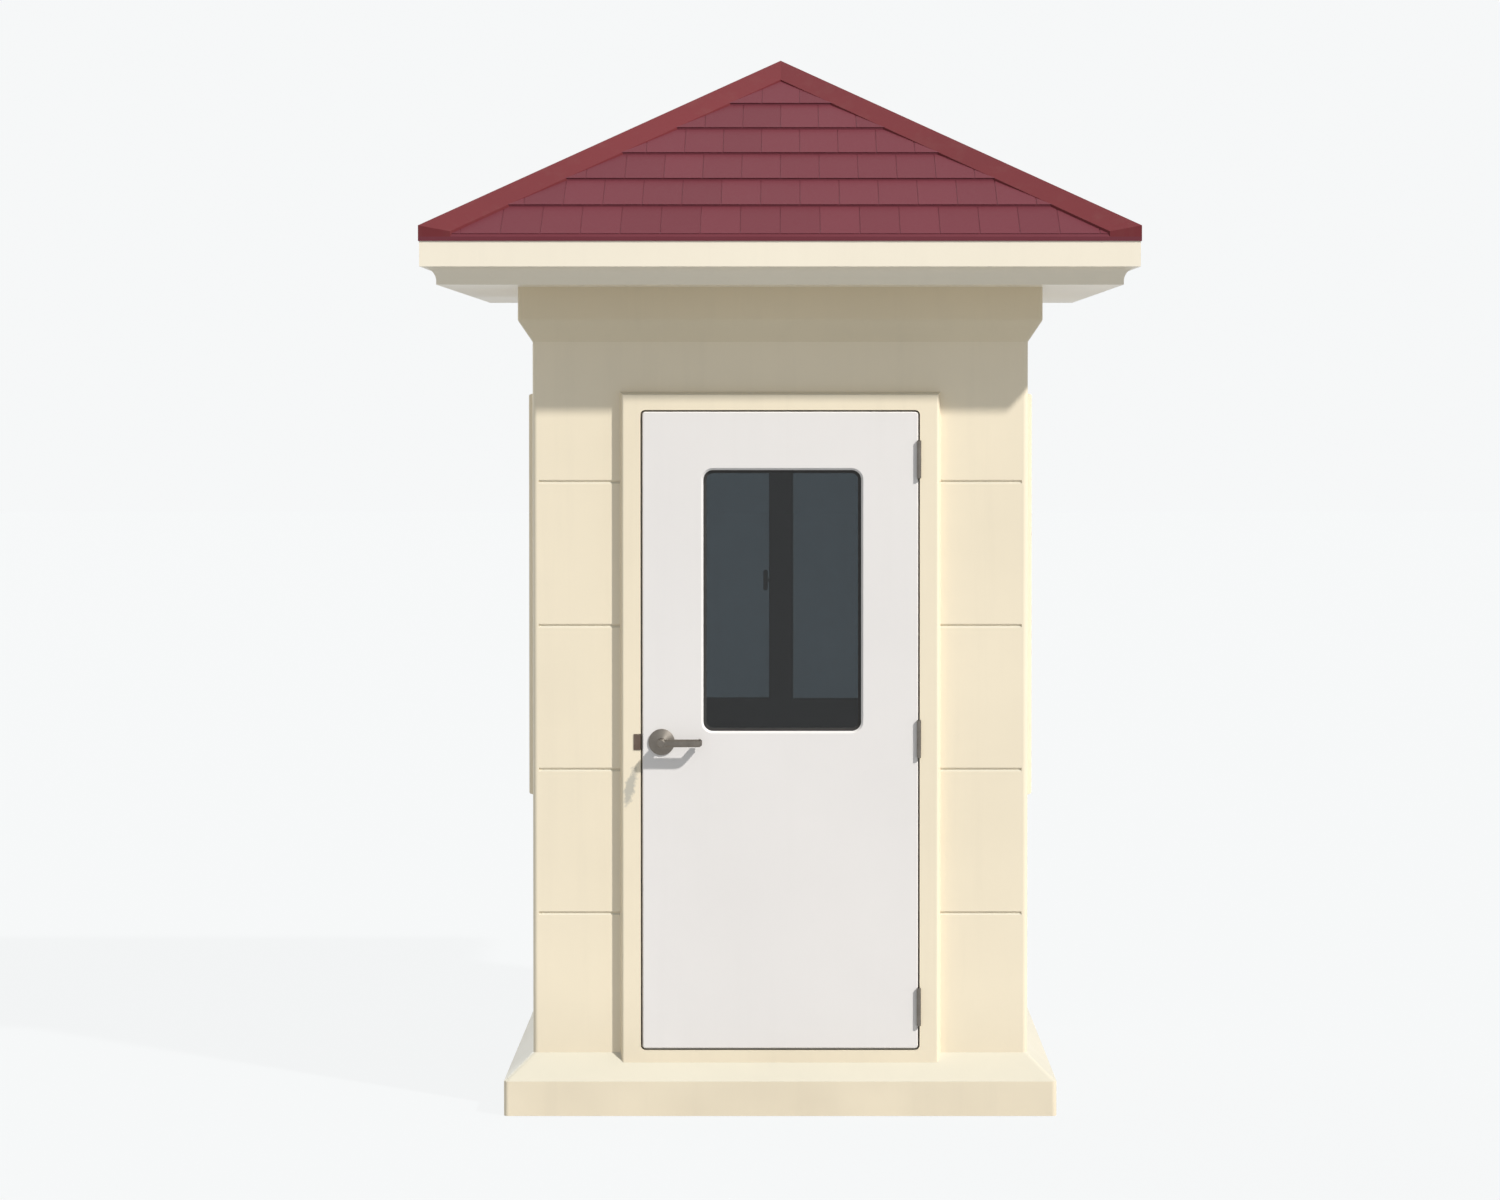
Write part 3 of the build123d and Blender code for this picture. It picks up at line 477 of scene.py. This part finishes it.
# Strike plate: bent from plain mild steel, with a lip that guides the latch. Its plating has
# worn off where the latch rubs, and rain has stained it brown.
rust_brown = (0.115, 0.078, 0.058)
worn_steel = (0.215, 0.165, 0.135)
stained_steel = steel_finish("stained_steel", rust_brown, worn_steel)
dress(["strike_plate"], stained_steel)

# Screws: flat countersunk heads of the same steel that hold the hinge plates, the strike and
# the latch plate. Each is turned in almost flush and has a shallow socket.
head_radius, crown_radius, head_rise, head_sides = 0.0036, 0.00324, 0.0003, 16
socket_radius, socket_depth = 0.0018, 0.00021
hinge_length, middle_hinge_share = 0.110, 0.49
hinge_screw_inset, hinge_screw_step = 0.013, 0.036
strike_screw_step, latch_screw_step = 0.0175, 0.0225


def screws(name, face, outward, places, body):
    bm = bmesh.new()
    for along, height in places:
        seat = Matrix.Translation((face, along, height)) @ Matrix.Rotation(outward * math.pi / 2, 4, "Y")
        made = bmesh.ops.create_cone(bm, cap_ends=True, segments=head_sides, radius1=head_radius,
                                     radius2=crown_radius, depth=head_rise,
                                     matrix=seat @ Matrix.Translation((0, 0, head_rise / 2)))
        faces = {side for corner in made["verts"] for side in corner.link_faces}
        ends = [side for side in faces if len(side.verts) == head_sides]
        crown = max(ends, key=lambda end: outward * end.calc_center_median().x)
        bmesh.ops.inset_region(bm, faces=[crown], thickness=crown_radius - socket_radius)
        bmesh.ops.translate(bm, verts=crown.verts[:], vec=(-outward * socket_depth, 0, 0))
    new_piece(name, bm, satin_steel, body)


leaf_low, leaf_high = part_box("door_leaf")
leaf_middle = (leaf_low.y + leaf_high.y) / 2
hinge_low, hinge_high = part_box("hinge_frame_leaves")
bottom_hinge, top_hinge = hinge_low.z + hinge_length / 2, hinge_high.z - hinge_length / 2
middle_hinge = bottom_hinge + middle_hinge_share * (top_hinge - bottom_hinge)
hinge_places = [(hinge_high.y - hinge_screw_inset, middle + step)
                for middle in (bottom_hinge, middle_hinge, top_hinge)
                for step in (-hinge_screw_step, 0.0, hinge_screw_step)]
strike_places = [(leaf_middle, lock_height + step) for step in (-strike_screw_step, strike_screw_step)]
latch_places = [(leaf_middle, lock_height + step) for step in (-latch_screw_step, latch_screw_step)]
screws("hinge_frame_screws", jamb_half, -1, hinge_places, "booth")
screws("hinge_door_screws", leaf_high.x, 1, hinge_places, "door")
screws("strike_screws", -jamb_half, 1, strike_places, "booth")
screws("latch_screws", leaf_low.x, -1, latch_places, "door")

# Studio: a plain pale floor that keeps the shadow, a lamp from the upper right, a weak one from
# behind and an even sky, with a nearly level camera at eye height straight in front of the door.
floor_grey = (0.36, 0.37, 0.38)
floor_glow = (0.985, 0.998, 1.0)
floor_glow_share = 0.88
floor_half, floor_drop = 60.0, 0.0005


def seen_mask(tree):
    ray = add_node(tree, "LightPath").outputs
    seen = combine(tree, "MAXIMUM", ray["Is Camera Ray"], ray["Is Glossy Ray"])
    return combine(tree, "MAXIMUM", seen, ray["Is Transmission Ray"])


pale_floor, tree, shader = new_finish("pale_floor")
shader["Base Color"].default_value = (*floor_grey, 1)
shader["Roughness"].default_value = 0.9
shader["Specular IOR Level"].default_value = 0.1
glow = add_node(tree, "Emission", {"Color": (*floor_glow, 1), "Strength": 1.0})
glow_share = combine(tree, "MULTIPLY", seen_mask(tree), floor_glow_share)
lit = add_node(tree, "MixShader", {0: glow_share, 1: tree.nodes["Principled BSDF"].outputs["BSDF"],
                                   2: glow.outputs["Emission"]})
tree.links.new(lit.outputs["Shader"], tree.nodes["Material Output"].inputs["Surface"])
bm = bmesh.new()
bmesh.ops.create_grid(bm, x_segments=1, y_segments=1, size=floor_half)
bmesh.ops.translate(bm, verts=bm.verts[:], vec=(0, 0, -floor_drop))
floor = mesh_object("studio_floor", bm, pale_floor)

sky_light = (0.92, 0.965, 1.0)
sky_shown = (0.923, 0.935, 0.939)
sky = bpy.data.worlds.new("studio_sky")
bpy.context.scene.world = sky
sky.use_nodes = True
tree = sky.node_tree
even = add_node(tree, "Background", {"Color": (*sky_light, 1), "Strength": 0.50})
shown = add_node(tree, "Background", {"Color": (*sky_shown, 1), "Strength": 1.0})
both = add_node(tree, "MixShader", {0: seen_mask(tree), 1: even.outputs[0], 2: shown.outputs[0]})
tree.links.new(both.outputs["Shader"], tree.nodes["World Output"].inputs["Surface"])


def add_lamp(name, strength, spread, colour, source):
    lamp = bpy.data.lights.new(name, "SUN")
    lamp.energy = strength
    lamp.angle = math.radians(spread)
    lamp.color = colour
    stand = bpy.data.objects.new(name, lamp)
    stand.rotation_euler = Vector(source).to_track_quat("Z", "Y").to_euler()
    bpy.context.scene.collection.objects.link(stand)


add_lamp("key_lamp", strength=3.5, spread=2.0, colour=(1.0, 0.985, 0.955), source=(0.577, -0.481, 0.660))
add_lamp("fill_lamp", strength=1.0, spread=40.0, colour=(0.94, 0.97, 1.0), source=(-0.62, 0.70, 0.35))

eye_place = (0.0225, -11.715, 2.062)
eye_tilt = math.radians(89.0)
lens = bpy.data.cameras.new("camera")
lens.sensor_fit = "HORIZONTAL"
lens.sensor_width = 36.0
lens.lens = 90.84
lens.shift_x = -0.0253
lens.shift_y = -0.0872
lens.clip_end = 200.0
camera = bpy.data.objects.new("camera", lens)
camera.location = eye_place
camera.rotation_euler = (eye_tilt, 0, 0)
bpy.context.scene.collection.objects.link(camera)
bpy.context.scene.camera = camera
bpy.context.scene.view_settings.view_transform = "Standard"
